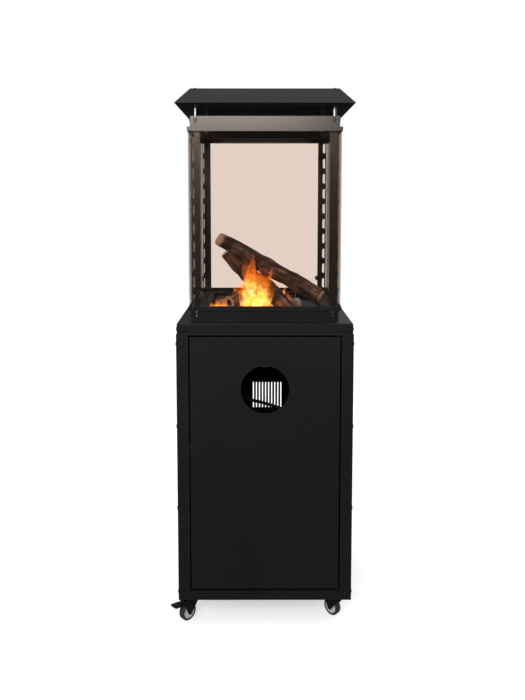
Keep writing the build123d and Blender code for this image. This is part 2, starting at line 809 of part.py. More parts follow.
def make_burner_tray():
    flange = square_ring(tray_outer, tray_wall - tray_sheet, z_box, z_box + tray_sheet)
    pan = block(-tray_wall, tray_wall, -tray_wall, tray_wall, z_tray - tray_sheet, z_box + tray_sheet)
    inside = tray_wall - tray_sheet
    pan -= block(-inside, inside, -inside, inside, z_tray, z_box + tray_sheet)
    pan -= rod_z(0, 0, z_tray - 2 * tray_sheet, z_tray + tray_sheet, burner_inlet_d + fit)
    return drill(flange + pan, tray_screws, screw_hole)


def make_burner():
    """Box burner with rows of flame ports and a gas inlet below."""
    z0, z1 = z_tray, z_tray + burner_height
    burner = block(-burner_length / 2, burner_length / 2, -burner_width / 2, burner_width / 2, z0, z1)
    burner = fillet(burner.edges().group_by(Axis.Z)[-1], 2.0)
    burner -= block(-burner_length / 2 + burner_sheet, burner_length / 2 - burner_sheet,
                    -burner_width / 2 + burner_sheet, burner_width / 2 - burner_sheet,
                    z0 + burner_sheet, z1 - burner_sheet)
    burner += rod_z(0, 0, z0 - burner_inlet_drop, z0 + burner_sheet, burner_inlet_d)
    burner -= rod_z(0, 0, z0 - burner_inlet_drop, z0 + 2 * burner_sheet, pipe_d)
    first_x = -port_pitch * (port_columns - 1) / 2
    first_y = -port_row_pitch * (port_rows - 1) / 2
    ports = [rod_z(first_x + i * port_pitch, first_y + j * port_row_pitch, z1 - 3 * burner_sheet,
                   z1 + burner_sheet, port_d) for i in range(port_columns) for j in range(port_rows)]
    return burner - ports


def make_pilot():
    """Pilot burner, flame probe and spark electrode on one foot plate."""
    length, width, thick = pilot_plate
    foot = block(pilot_x - length / 2, pilot_x + length / 2, pilot_y - width / 2, pilot_y + width / 2,
                 z_tray, z_tray + thick)
    foot = fillet(foot.edges().filter_by(Axis.Z), 3.0)
    top = z_tray + pilot_tube_h
    tube = rod_z(pilot_x, pilot_y, z_tray + thick, top, pilot_tube_d)
    tube += rod_z(pilot_x, pilot_y, top - 6.0, top, pilot_tube_d + 3.0)
    tube -= rod_y(pilot_x, pilot_y - pilot_tube_d, pilot_y, top - 3.0, 3.0)
    pilot = foot + tube
    for side, tip in ((-1, 2.0), (1, 2.8)):
        x = pilot_x + side * pilot_pitch
        pilot += rod_z(x, pilot_y, z_tray + thick, z_tray + pilot_probe_h - 8.0, pilot_probe_d)
        pilot += rod_z(x, pilot_y, z_tray + pilot_probe_h - 8.5, z_tray + pilot_probe_h, tip)
    return pilot


# Logs: each has its axis, its radii along the axis, and a formula for a rough outline

def log_shape(start, end, radii, phase):
    """A tapering log of twelve sides, lofted through one outline for each radius."""
    start, end = Vector(*start), Vector(*end)
    axis = end - start
    side_hint = axis.cross(Vector(0, 0, 1))
    sections = []
    for i, radius in enumerate(radii):
        origin = start + axis * (i / (len(radii) - 1))
        plane = Plane(origin=origin, x_dir=side_hint, z_dir=axis)
        points = []
        for k in range(12):
            turn = math.radians(30 * k)
            wave = 1 + 0.05 * math.sin(3 * turn + phase + i) + 0.03 * math.cos(5 * turn - phase)
            points.append((radius * wave * math.cos(turn), radius * wave * math.sin(turn)))
        sections.append(plane * make_face(Polyline(*points, close=True)))
    return loft([section.face() for section in sections], ruled=True)


def make_logs():
    pan_reach = tray_wall - tray_sheet - seat
    above_floor = block(-pan_reach, pan_reach, -pan_reach, pan_reach, z_tray, z_rim_high)
    burner_room = block(-burner_length / 2, burner_length / 2, -burner_width / 2, burner_width / 2,
                        z_tray - 1.0, z_tray + burner_height)
    rim_room = block(-half_box, half_box, -half_box, half_box, z_tray, z_box + tray_sheet)
    z = z_tray
    main = log_shape((-144, 50, z + 207), (164, -106, z + 45), (20, 24, 26, 25, 28, 24, 26, 24, 20), 0.4)
    main -= rim_room
    support = log_shape((-119, 18, z + 170), (22, 42, z + 24), (21, 26, 27, 26, 24), 1.7)
    support = (support & above_floor) - burner_room - main
    front = log_shape((-22, -44, z + 98), (82, -108, z - 8), (19, 24, 26, 25, 22), 2.6)
    front = (front & above_floor) - burner_room - main
    left_foot, left_top = (-106, -94, z + 24), (-36, -28, z + 46)
    left = log_shape(left_foot, left_top, (23, 26, 25, 22), 3.9)
    left = (left & above_floor) - burner_room - main - support - front
    hollow = Plane(origin=left_foot, z_dir=Vector(*left_top) - Vector(*left_foot))
    left -= hollow * Cylinder(log_hollow_d / 2, 2 * log_hollow_depth)
    chip = log_shape((-140, 12, z + 18), (-126, -52, z + 16), (14, 19, 16), 5.2)
    chip = (chip & above_floor) - burner_room - left - support
    return {"log_main": main, "log_support": support, "log_front": front, "log_left": left,
            "log_chip": chip}


# Controls

def make_control_panel():
    """Bent plate that hangs from the cover and carries valve and igniter."""
    z_high = z_cover - sheet
    half = panel_width / 2
    panel = block(-half, half, panel_y, panel_y + sheet, z_cover - panel_drop, z_high)
    panel += block(-half, half, panel_y, panel_y + panel_flange, z_high - sheet, z_high)
    panel -= rod_y(0, panel_y - sheet, panel_y + 2 * sheet, knob_z, valve_nose_d + 2 * fit)
    return panel - rod_y(igniter_x, panel_y - sheet, panel_y + 2 * sheet, igniter_z,
                         igniter_barrel_d + fit)


def make_gas_valve():
    """Valve body behind the panel, with a nose for the spindle and a side inlet."""
    width, depth, height = valve_size
    y0 = panel_y + sheet
    body = block(-width / 2, width / 2, y0, y0 + depth, knob_z - height / 2, knob_z + height / 2)
    body = fillet(body.edges(), 3.0)
    body += rod_y(0, panel_y, y0 + 2.0, knob_z, valve_nose_d)
    inlet_y = y0 + valve_inlet_setback
    body += rod_x(-width / 2 + 2.0, -width / 2 - valve_inlet_length, inlet_y, knob_z, valve_inlet_d - 4.0)
    nut = extrude(RegularPolygon(valve_inlet_d / 2 + 2.0, 6), 9.0)
    body += aimed(nut, -width / 2 - 2.0, inlet_y, knob_z, (-1, 0, 0))
    spigot = z_cover - panel_drop + 2.0
    outlet_y = y0 + pipe_back
    body += rod_z(0, outlet_y, spigot, knob_z + height / 2 + 6.0, pipe_d + 5.0)
    bore = spindle_seat + knob_travel + 2.0
    return body - rod_y(0, panel_y - 1.0, panel_y + sheet + bore, knob_z, spindle_d + 2 * run)


def make_valve_spindle():
    y_front = panel_y - knob_gap - knob_travel - knob_length + (knob_length - knob_bore_depth)
    return rod_y(0, y_front + seat, panel_y + sheet + spindle_seat, knob_z, spindle_d)


def make_control_knob():
    """Knob with a grip and a skirt; a notch on the skirt's edge marks its position."""
    back = panel_y - knob_gap - knob_travel
    front = back - knob_length
    knob = rod_y(0, back, back - knob_skirt, knob_z, knob_d)
    knob += rod_y(0, back - knob_skirt, front, knob_z, knob_grip_d)
    knob = fillet(knob.edges().group_by(Axis.Y)[0], 2.0)
    flutes = [Pos(0, 0, knob_z) * Rot(0, 30 * k, 0) * rod_y(0, front - 1.0, back - knob_skirt,
                                                            knob_grip_d / 2 + 2.2, 7.0) for k in range(12)]
    knob -= flutes
    knob -= block(-1.0, 1.0, front - 1.0, front + 1.0, knob_z + 4.0, knob_z + knob_grip_d / 2)
    return knob - rod_y(0, back + 1.0, back - knob_bore_depth, knob_z, spindle_d + 2 * run)


def make_igniter_body():
    front = panel_y - igniter_flange_t
    back = panel_y + igniter_barrel_length
    body = rod_y(igniter_x, panel_y, back, igniter_z, igniter_barrel_d)
    body += rod_y(igniter_x, front, panel_y, igniter_z, igniter_flange_d)
    nut = extrude(RegularPolygon(igniter_barrel_d / 2 + 4.0, 6), 5.0)
    body += aimed(nut, igniter_x, panel_y + sheet, igniter_z, (0, 1, 0))
    room = igniter_button_in + igniter_travel + 2.0
    return body - rod_y(igniter_x, front - 1.0, front + room, igniter_z, igniter_button_d + 4 * run)


def make_igniter_button():
    front = panel_y - igniter_flange_t
    button = rod_y(igniter_x, front - igniter_button_out, front + igniter_button_in, igniter_z,
                   igniter_button_d)
    return fillet(button.edges().group_by(Axis.Y)[0], 1.5)


def make_gas_pipe():
    """Rigid pipe from the valve up to the burner."""
    outlet_y = panel_y + sheet + pipe_back
    z0 = knob_z + valve_size[2] / 2 + 6.0
    z_run = z_cover - pipe_level
    z_end = z_tray - burner_inlet_drop
    route = FilletPolyline((0, outlet_y, z0), (0, outlet_y, z_run), (0, 0, z_run), (0, 0, z_end),
                           radius=pipe_bend)
    return sweep(Plane(origin=route @ 0, z_dir=route % 0) * Circle(pipe_d / 2), path=route)


# Regulator and hose

def make_regulator():
    """Low pressure regulator hanging by its neck, outlet down."""
    z_tab = z_cabinet + park_height
    z_union = z_tab + seat
    z_neck_low = z_tab - sheet - neck_drop
    neck = rod_z(park_x, park_y, z_neck_low - 4.0, z_union + union_base + seat, neck_d)
    nose_z = z_union + union_base + seat
    nose = rod_z(park_x, park_y, nose_z, nose_z + nose_height, nose_d)
    disc_z = z_neck_low - regulator_d / 2
    disc = rod_x(park_x - regulator_t / 2, park_x + regulator_t / 2, park_y, disc_z, regulator_d)
    disc = fillet(disc.edges().filter_by(GeomType.CIRCLE), 4.0)
    cap_x = park_x - regulator_t / 2
    cap = rod_x(cap_x - regulator_cap_t, cap_x + 1.0, park_y, disc_z, regulator_cap_d)
    cap = fillet(cap.edges().group_by(Axis.X)[0], 2.5)
    z_out = disc_z - regulator_d / 2
    outlet = rod_z(park_x, park_y, z_out - outlet_length, z_out + 4.0, outlet_d)
    outlet += Pos(park_x, park_y, z_out - 9.0) * extrude(RegularPolygon(outlet_d / 2 + 4.0, 6), 8.0)
    return disc + cap + neck + nose + outlet


def make_regulator_union():
    """Hand tightened union nut that turns on the regulator's neck."""
    z0 = z_cabinet + park_height + seat
    union = Pos(park_x, park_y, z0) * extrude(RegularPolygon(nut_across / 2 * 1.1547, 6), union_height)
    z_thread = z0 + union_base + union_recess
    union -= rod_z(park_x, park_y, z0 - 1.0, z0 + union_base, neck_d + 2 * run)
    union -= rod_z(park_x, park_y, z0 + union_base, z_thread, union_recess_d)
    return union - rod_z(park_x, park_y, z_thread, z0 + union_height + 1.0, union_thread_d)


# Route of the gas hose, from the valve's inlet round the back to the regulator's outlet
hose_start = (-valve_size[0] / 2 - valve_inlet_length, panel_y + sheet + valve_inlet_setback, knob_z)
hose_end = (park_x, park_y, z_cabinet + park_height - sheet - neck_drop - regulator_d - outlet_length)
hose_route = [hose_start, (-95, -175, knob_z), (-146, -170, 744), (-186, -137, 714), (-204, -82, 676),
              (-209, -20, 640), (-204, 45, 607), (-186, 104, 579), (-148, 156, 556), (-96, 186, 539),
              (-40, 197, 525), (20, 199, 509), (78, 190, 490), (128, 167, 474), (164, 137, 466),
              (187, 105, 472), (200, 77, 490), (208, 60, 522), hose_end]


def make_gas_hose():
    """Hose of straight runs joined by arcs as large as the runs allow."""
    points = [Vector(*p) for p in hose_route]
    runs = [points[i + 1] - points[i] for i in range(len(points) - 1)]
    radii = []
    for before, after in zip(runs, runs[1:]):
        half_turn = math.radians(before.get_angle(after)) / 2
        radii.append(0.45 * min(before.length, after.length) / math.tan(half_turn))
    path = FilletPolyline(*hose_route, radius=radii)
    hose = sweep(Plane(origin=path @ 0, z_dir=path % 0) * Circle(hose_d / 2), path=path)
    section = math.pi * hose_d ** 2 / 4
    print("hose length", round(path.length, 1), "volume ratio", round(hose.volume / section / path.length, 5))
    print("hose runs", [round(r.length) for r in runs])
    print("hose radii", [round(r) for r in radii])
    return hose


def build_parts():
    parts = {
        "door_frame": make_door_frame(),
        "side_panel_left": make_side_panel(-1),
        "side_panel_right": make_side_panel(1),
        "rear_panel": make_rear_panel(),
        "bottom_tray": make_bottom_tray(),
        "cabinet_cover": make_cabinet_cover(),
        "corner_brackets": make_corner_brackets(),
        "cabinet_bolts": group(make_bolts(cabinet_bolts + castor_bolts)),
        "door_panel": make_door_panel(),
        "door_pins": make_door_pins(),
        "door_magnet": make_door_magnet(),
        "base_box": make_base_box(),
        "bottom_rim": make_rim(z_box, 1, lower_rim_opening, 0),
        "top_rim": make_rim(z_rim_high, -1, upper_rim_opening, gusset_leg),
        "collar": make_collar(),
        "glass_bumpers": make_glass_bumpers(),
        "roof": make_roof(),
        "roof_posts": make_roof_posts(),
        "lantern_screws": make_lantern_screws(),
        "burner_tray": make_burner_tray(),
        "burner": make_burner(),
        "pilot_assembly": make_pilot(),
        "control_panel": make_control_panel(),
        "gas_valve": make_gas_valve(),
        "valve_spindle": make_valve_spindle(),
        "control_knob": make_control_knob(),
        "igniter_body": make_igniter_body(),
        "igniter_button": make_igniter_button(),
        "gas_pipe": make_gas_pipe(),
        "regulator": make_regulator(),
        "regulator_union": make_regulator_union(),
        "gas_hose": make_gas_hose(),
    }
    parts.update(make_logs())
    plates = []
    for name in castor_side:
        side_x, side_y = castor_side[name]
        plate = Pos(side_x * castor_x, side_y * castor_y, 0) * make_castor_plate()
        plates.append(drill(plate, castor_bolts, bolt_hole))
        braked = name in braked_castors
        parts["castor_fork_" + name] = placed_castor(make_castor_fork(braked), name)
        parts["castor_tyre_" + name] = placed_castor(make_castor_tyre(), name)
        parts["castor_hub_" + name] = placed_castor(make_castor_hub(), name)
        if braked:
            parts["brake_pedal_" + name] = placed_castor(make_castor_pedal(), name)
        parts["lantern_post_" + name] = make_lantern_post(side_x, side_y)
    parts["castor_plates"] = group(plates)
    for name, way in {"front": (0, -1), "rear": (0, 1), "left": (-1, 0), "right": (1, 0)}.items():
        parts["glass_" + name] = make_glass(*way)
    return parts


os.makedirs("parts", exist_ok=True)
for node, shape in build_parts().items():
    export_step(shape, "parts/" + node + ".step")
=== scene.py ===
import json
import math

import bmesh
import bpy
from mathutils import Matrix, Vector, noise


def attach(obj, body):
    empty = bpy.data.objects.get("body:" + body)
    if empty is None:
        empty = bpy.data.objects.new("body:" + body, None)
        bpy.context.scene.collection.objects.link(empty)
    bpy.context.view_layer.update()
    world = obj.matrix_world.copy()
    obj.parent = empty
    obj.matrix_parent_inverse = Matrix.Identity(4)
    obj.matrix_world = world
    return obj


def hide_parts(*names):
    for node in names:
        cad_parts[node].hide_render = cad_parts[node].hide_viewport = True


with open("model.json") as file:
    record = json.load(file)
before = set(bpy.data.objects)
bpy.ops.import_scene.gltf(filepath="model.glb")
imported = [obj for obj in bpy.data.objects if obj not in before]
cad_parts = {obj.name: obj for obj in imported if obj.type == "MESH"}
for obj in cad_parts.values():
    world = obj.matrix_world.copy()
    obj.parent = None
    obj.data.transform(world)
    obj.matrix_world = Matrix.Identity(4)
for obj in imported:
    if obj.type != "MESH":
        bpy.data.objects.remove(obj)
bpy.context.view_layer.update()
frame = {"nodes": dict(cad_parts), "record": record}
nodes = frame["nodes"]
MM = 0.001

# Camera, fitted to the edges of the cabinet, the rims and the roof
CAMERA_PLACE = (-0.0096, -2.1438, 1.2051)
CAMERA_TILT = 84.992
CAMERA_YAW = -0.086
LENS = 36.01
SHIFT_Y = -0.1264

# Light
BACKGROUND = 1.0
AMBIENT = 1.2
FLOOR_GLOW = 0.45
FLOOR_MIRRORED = 0.05
SOFTBOX_PLACE = (-0.9, -4.0, 2.75)
SOFTBOX_SIZE = (3.0, 1.6)
SOFTBOX_POWER = 190.0
REAR_PLACE = (2.4, 3.4, 2.4)
REAR_POWER = 60.0
FIRE_PLACE = (-0.02, -0.13, 0.95)
FIRE_POWER = 0.6
FLOOR_SIZE = 14.0

REFLECTED_SKY = [(0.0, (0.04, 0.04, 0.04)), (0.48, (0.04, 0.04, 0.04)),
                 (0.62, (0.11, 0.105, 0.10)), (1.0, (1.0, 0.98, 0.95))]
FIRE_COLOR = (1.0, 0.5, 0.18)
FIRE_RADIUS = 0.05

# Paint: width of the lighter band along an edge, which is a painted edge highlight, and how finely it
# is broken up
EDGE_HIGHLIGHT_WIDTH = 1.2 * MM
EDGE_HIGHLIGHT_BREAKS = 60.0

# Share of light that a pane mirrors straight on
GLASS_SHINE = 0.028

# Hose: the points of its route and its diameter
HOSE_DIAMETER = 11.0 * MM
HOSE_ROUTE = [(-50, -175, 758), (-95, -175, 758), (-146, -170, 744), (-186, -137, 714),
              (-204, -82, 676), (-209, -20, 640), (-204, 45, 607), (-186, 104, 579),
              (-148, 156, 556),
              (-96, 186, 539), (-40, 197, 525), (20, 199, 509), (78, 190, 490), (128, 167, 474),
              (164, 137, 466), (187, 105, 472), (200, 77, 490), (208, 60, 522), (208, 60, 558)]

# Crimped ferrules: rings, their spacing, and heights over the hose
FERRULE_RINGS = 4
FERRULE_STEP = 5.0 * MM
RING_WIDTH = 3.0 * MM
RING_RISE = 1.8 * MM
GROOVE_RISE = 1.0 * MM
END_RISE = 0.2 * MM
LATHE_SIDES = 48

# Logs: mesh fineness and depth of the bark
LOG_VOXEL = 2.6 * MM
BARK_DEPTH = 3.2 * MM
LOG_AXES = {"log_main": (308, -156, -162), "log_support": (141, 24, -146),
            "log_front": (104, -64, -106),
            "log_left": (70, 66, 22), "log_chip": (14, -64, -2)}
# Painted glow: orange emission in the logs' cracks between these heights, for hot embers and the
# flames' light on the logs
GLOW_FOOT = 0.880
GLOW_TOP = 0.925
EMBER_AND_FIRELIGHT_GLOW = 0.5
# The main log's torn, pale end
PALE_TIP = Vector((-144, 50, 1085)) * MM
PALE_LENGTH = 30.0 * MM

# Flames: foot, height, half width, lean to +X
FLAMES = [((-0.030, -0.070, 0.884), 0.150, 0.058, -0.012),
          ((0.004, -0.080, 0.886), 0.128, 0.034, -0.018),
          ((-0.038, -0.080, 0.886), 0.172, 0.026, -0.004),
          ((-0.016, -0.092, 0.884), 0.112, 0.030, 0.022),
          ((-0.060, -0.090, 0.884), 0.096, 0.024, -0.008),
          ((-0.026, -0.104, 0.882), 0.070, 0.036, 0.004),
          ((-0.002, -0.100, 0.882), 0.076, 0.030, 0.014),
          ((-0.050, -0.100, 0.882), 0.066, 0.028, -0.006),
          ((0.008, -0.066, 0.900), 0.112, 0.014, 0.020),
          ((0.030, -0.052, 0.905), 0.080, 0.011, 0.026),
          ((-0.084, -0.060, 0.890), 0.070, 0.013, -0.012),
          ((0.066, -0.094, 0.889), 0.050, 0.008, 0.006),
          ((0.052, -0.078, 0.905), 0.052, 0.008, 0.014),
          ((-0.122, -0.112, 0.884), 0.034, 0.014, 0.006),
          ((-0.146, -0.100, 0.884), 0.032, 0.012, 0.008),
          ((-0.158, -0.094, 0.884), 0.022, 0.008, 0.004),
          ((-0.040, 0.010, 0.900), 0.100, 0.024, 0.010),
          ((0.010, 0.014, 0.900), 0.080, 0.020, 0.010)]
FLAME_STRENGTH = 1.25
FLAME_RINGS = 22
FLAME_SIDES = 16


def shader(name):
    """A new material with an empty node tree and its output."""
    material = bpy.data.materials.new(name)
    material.use_nodes = True
    tree = material.node_tree
    tree.nodes.clear()
    return material, tree, tree.nodes.new("ShaderNodeOutputMaterial")


def add(tree, kind, inputs=None, **settings):
    """A node with its settings; an input is a value or the socket that feeds it."""
    node = tree.nodes.new(kind)
    for key, value in settings.items():
        setattr(node, key, value)
    for key, value in (inputs or {}).items():
        if isinstance(value, bpy.types.NodeSocket):
            tree.links.new(value, node.inputs[key])
        else:
            node.inputs[key].default_value = value
    return node


def calc(tree, operation, *values):
    """The result of a maths node."""
    return add(tree, "ShaderNodeMath", dict(enumerate(values)), operation=operation).outputs[0]


def remap(tree, value, from_low, from_high, to_low, to_high):
    """A value carried from one range to another, and held at its ends."""
    return add(tree, "ShaderNodeMapRange",
               {"Value": value, "From Min": from_low, "From Max": from_high,
                "To Min": to_low, "To Max": to_high}).outputs["Result"]


def noise_at(tree, scale, detail=4.0, rough=0.6):
    """Noise fixed to the object."""
    place = add(tree, "ShaderNodeTexCoord").outputs["Object"]
    return add(tree, "ShaderNodeTexNoise", {"Vector": place, "Scale": scale, "Detail": detail,
                                            "Roughness": rough}).outputs["Fac"]


def ramp(tree, factor, stops):
    """The colour that stops of position and colour give a factor."""
    node = add(tree, "ShaderNodeValToRGB", {"Fac": factor})
    elements = node.color_ramp.elements
    while len(elements) < len(stops):
        elements.new(0.5)
    for element, (position, color) in zip(elements, stops):
        element.position = position
        element.color = (*color, 1.0)
    return node.outputs["Color"]


def spread(tree, factor, low, high):
    """Noise, which keeps to its middle, stretched over the range from low to high."""
    return remap(tree, factor, 0.3, 0.7, low, high)


def finish_material(name, dark, light, roughness, metallic=0.0, specular=0.5, grain=900.0,
                    grain_depth=0.00005, patch=9.0, edge_highlight=None, tint=(1, 1, 1)):
    """A surface with fine grain, slow changes of colour and gloss, and an optional painted edge
    highlight: a lighter band along its edges.
    """
    material, tree, output = shader(name)
    slow = noise_at(tree, patch)
    fine = noise_at(tree, grain, 2.0)
    color = ramp(tree, slow, [(0.35, dark), (0.65, light)])
    if edge_highlight:
        # Lighter colour along the edges, found by a bevel: a painted edge highlight
        normal = add(tree, "ShaderNodeNewGeometry").outputs["Normal"]
        rounded = add(tree, "ShaderNodeBevel", {"Radius": EDGE_HIGHLIGHT_WIDTH}, samples=4).outputs["Normal"]
        flat = add(tree, "ShaderNodeVectorMath", {0: normal, 1: rounded}, operation="DOT_PRODUCT")
        highlight_band = ramp(tree, flat.outputs["Value"], [(0.90, (1, 1, 1)), (0.99, (0, 0, 0))])
        broken = calc(tree, "MULTIPLY", highlight_band, noise_at(tree, EDGE_HIGHLIGHT_BREAKS))
        mix = add(tree, "ShaderNodeMix", {"Factor": broken}, data_type="RGBA")
        tree.links.new(color, mix.inputs["A"])
        mix.inputs["B"].default_value = (*edge_highlight, 1.0)
        color = mix.outputs["Result"]
    bump = add(tree, "ShaderNodeBump", {"Height": fine, "Strength": 0.15, "Distance": grain_depth})
    surface = add(tree, "ShaderNodeBsdfPrincipled",
                  {"Base Color": color, "Roughness": spread(tree, slow, *roughness),
                   "Metallic": metallic, "Specular IOR Level": specular,
                   # The specular tint, warm only for the lantern's paint, paints a warm reflection
                   "Specular Tint": (*tint, 1),
                   "Normal": bump.outputs["Normal"]})
    tree.links.new(surface.outputs[0], output.inputs["Surface"])
    return material


def glass_material():
    """Warm tinted pane: clear straight on, mirror-like at a slant, faint smears, dark green edges."""
    material, tree, output = shader("warm_glass")
    normal = add(tree, "ShaderNodeNewGeometry").outputs["Normal"]
    slant = add(tree, "ShaderNodeLayerWeight", {"Blend": 0.5}).outputs["Facing"]
    steep = calc(tree, "POWER", slant, 5.0)
    fresnel = remap(tree, steep, 0.0, 1.0, GLASS_SHINE, 1.0)
    smear = ramp(tree, noise_at(tree, 7.0, 6.0),
                 [(0.45, (0.02, 0.02, 0.02)), (0.75, (0.06, 0.06, 0.06))])
    clear = add(tree, "ShaderNodeBsdfTransparent", {"Color": (0.962, 0.916, 0.884, 1)})
    mirror = add(tree, "ShaderNodeBsdfGlossy", {"Color": (0.9, 0.9, 0.9, 1), "Roughness": smear,
                                                "Normal": normal})
    pane = add(tree, "ShaderNodeMixShader",
               {0: fresnel, 1: clear.outputs[0], 2: mirror.outputs[0]})
    edge = add(tree, "ShaderNodeBsdfPrincipled",
               {"Base Color": (0.012, 0.03, 0.02, 1), "Roughness": 0.25})
    local = add(tree, "ShaderNodeSeparateXYZ", {0: normal}).outputs["Z"]
    upright = calc(tree, "ABSOLUTE", local)
    whole = add(tree, "ShaderNodeMixShader", {0: upright, 1: pane.outputs[0], 2: edge.outputs[0]})
    tree.links.new(whole.outputs[0], output.inputs["Surface"])
    return material


def log_material(name, axis):
    """Charred wood: furrows along the log, pale broken ends, a painted orange glow low down by the
    flames.
    """
    material, tree, output = shader(name + "_charred")
    axis = Vector(axis).normalized()
    place = add(tree, "ShaderNodeTexCoord").outputs["Object"]
    along = add(tree, "ShaderNodeVectorMath", {0: place, 1: axis},
                operation="DOT_PRODUCT").outputs["Value"]
    shift = add(tree, "ShaderNodeVectorMath", {0: axis}, operation="SCALE")
    tree.links.new(along, shift.inputs["Scale"])
    short = add(tree, "ShaderNodeVectorMath", {0: shift.outputs[0], 1: (0.88, 0.88, 0.88)},
                operation="MULTIPLY").outputs[0]
    grain_place = add(tree, "ShaderNodeVectorMath", {0: place, 1: short},
                      operation="SUBTRACT").outputs[0]
    bark = add(tree, "ShaderNodeTexNoise", {"Vector": grain_place, "Scale": 150.0, "Detail": 8.0,
                                            "Roughness": 0.68}).outputs["Fac"]
    color = ramp(tree, bark, [(0.34, (0.010, 0.006, 0.005)), (0.48, (0.040, 0.021, 0.015)),
                              (0.62, (0.105, 0.060, 0.044)), (0.74, (0.270, 0.200, 0.160))])
    char = ramp(tree, noise_at(tree, 26.0, 5.0),
                [(0.42, (0.28, 0.26, 0.26)), (0.58, (1.1, 1.05, 1.0))])
    color = add(tree, "ShaderNodeVectorMath", {0: color, 1: char}, operation="MULTIPLY").outputs[0]
    normal = add(tree, "ShaderNodeNewGeometry").outputs["Normal"]
    facing = add(tree, "ShaderNodeVectorMath", {0: normal, 1: axis},
                 operation="DOT_PRODUCT").outputs["Value"]
    facing = calc(tree, "ABSOLUTE", facing)
    cut = ramp(tree, facing, [(0.55, (0, 0, 0)), (0.80, (1, 1, 1))])
    if name == "log_main":
        start = PALE_TIP.dot(axis)
        torn = calc(tree, "MULTIPLY_ADD", noise_at(tree, 70.0), PALE_LENGTH, along)
        near = remap(tree, torn, start + PALE_LENGTH, start + 1.5 * PALE_LENGTH, 0.75, 0.0)
        cut = calc(tree, "MAXIMUM", cut, near)
    fibre = ramp(tree, noise_at(tree, 120.0),
                 [(0.3, (0.24, 0.13, 0.085)), (0.7, (0.40, 0.27, 0.19))])
    mix = add(tree, "ShaderNodeMix", {"Factor": cut}, data_type="RGBA")
    tree.links.new(color, mix.inputs["A"])
    tree.links.new(fibre, mix.inputs["B"])
    # Orange emission in the cracks, strongest at the foot: painted glow of embers and flame light
    height = add(tree, "ShaderNodeSeparateXYZ", {0: place}).outputs["Z"]
    low = remap(tree, height, GLOW_FOOT, GLOW_TOP, EMBER_AND_FIRELIGHT_GLOW, 0.0)
    cracks = ramp(tree, noise_at(tree, 60.0, 6.0), [(0.54, (0, 0, 0)), (0.68, (1, 1, 1))])
    glow = calc(tree, "MULTIPLY", low, cracks)
    bump = add(tree, "ShaderNodeBump", {"Height": bark, "Strength": 0.9, "Distance": 0.003})
    surface = add(tree, "ShaderNodeBsdfPrincipled",
                  {"Base Color": mix.outputs["Result"], "Roughness": 0.85,
                   "Specular IOR Level": 0.25,
                   "Emission Color": (1.0, 0.22, 0.03, 1), "Emission Strength": glow,
                   "Normal": bump.outputs["Normal"]})
    tree.links.new(surface.outputs[0], output.inputs["Surface"])
    return material


def flame_material():
    """Glowing gas: dense and pale in the middle and at the foot, orange and thin at rim and tip."""
    material, tree, output = shader("flame")
    rise = add(tree, "ShaderNodeAttribute", attribute_name="rise").outputs["Fac"]
    facing = add(tree, "ShaderNodeLayerWeight", {"Blend": 0.5}).outputs["Facing"]
    middle = ramp(tree, facing,
                  [(0.0, (1, 1, 1)), (0.30, (0.55, 0.55, 0.55)), (0.58, (0.12, 0.12, 0.12)),
                                  (0.80, (0, 0, 0))])
    wisps = spread(tree, noise_at(tree, 62.0, 3.0), 0.30, 1.1)
    fade = ramp(tree, rise,
                [(0.0, (0.75, 0.75, 0.75)), (0.22, (1, 1, 1)), (0.55, (0.42, 0.42, 0.42)),
                             (1.0, (0, 0, 0))])
    soft = calc(tree, "MULTIPLY", middle, wisps)
    density = calc(tree, "MULTIPLY", soft, fade)
    color = ramp(tree, density, [(0.0, (0.90, 0.09, 0.01)), (0.22, (1.0, 0.27, 0.03)),
                                 (0.42, (1.0, 0.52, 0.10)), (0.75, (1.0, 0.85, 0.42))])
    strength = calc(tree, "MULTIPLY", density, FLAME_STRENGTH)
    light = add(tree, "ShaderNodeEmission", {"Color": color, "Strength": strength})
    tint = ramp(tree, density, [(0.0, (1, 1, 1)), (0.6, (1.0, 0.62, 0.30))])
    clear = add(tree, "ShaderNodeBsdfTransparent", {"Color": tint})
    whole = add(tree, "ShaderNodeAddShader", {0: clear.outputs[0], 1: light.outputs[0]})
    tree.links.new(whole.outputs[0], output.inputs["Surface"])
    return material


def floor_material():
    """Pale floor that keeps the shadow and hardly shows in glossy paint."""
    material, tree, output = shader("studio_floor")
    tone = ramp(tree, noise_at(tree, 2.0), [(0.3, (0.88, 0.88, 0.88)), (0.7, (0.90, 0.90, 0.90))])
    surface = add(tree, "ShaderNodeBsdfDiffuse", {"Color": tone})
    glow = add(tree, "ShaderNodeEmission", {"Color": (1, 1, 1, 1), "Strength": 1.05})
    lit = add(tree, "ShaderNodeMixShader",
              {0: FLOOR_GLOW, 1: surface.outputs[0], 2: glow.outputs[0]})
    mirrored = add(tree, "ShaderNodeEmission", {"Color": (1, 1, 1, 1), "Strength": FLOOR_MIRRORED})
    path = add(tree, "ShaderNodeLightPath").outputs["Is Glossy Ray"]
    whole = add(tree, "ShaderNodeMixShader", {0: path, 1: lit.outputs[0], 2: mirrored.outputs[0]})
    tree.links.new(whole.outputs[0], output.inputs["Surface"])
    return material
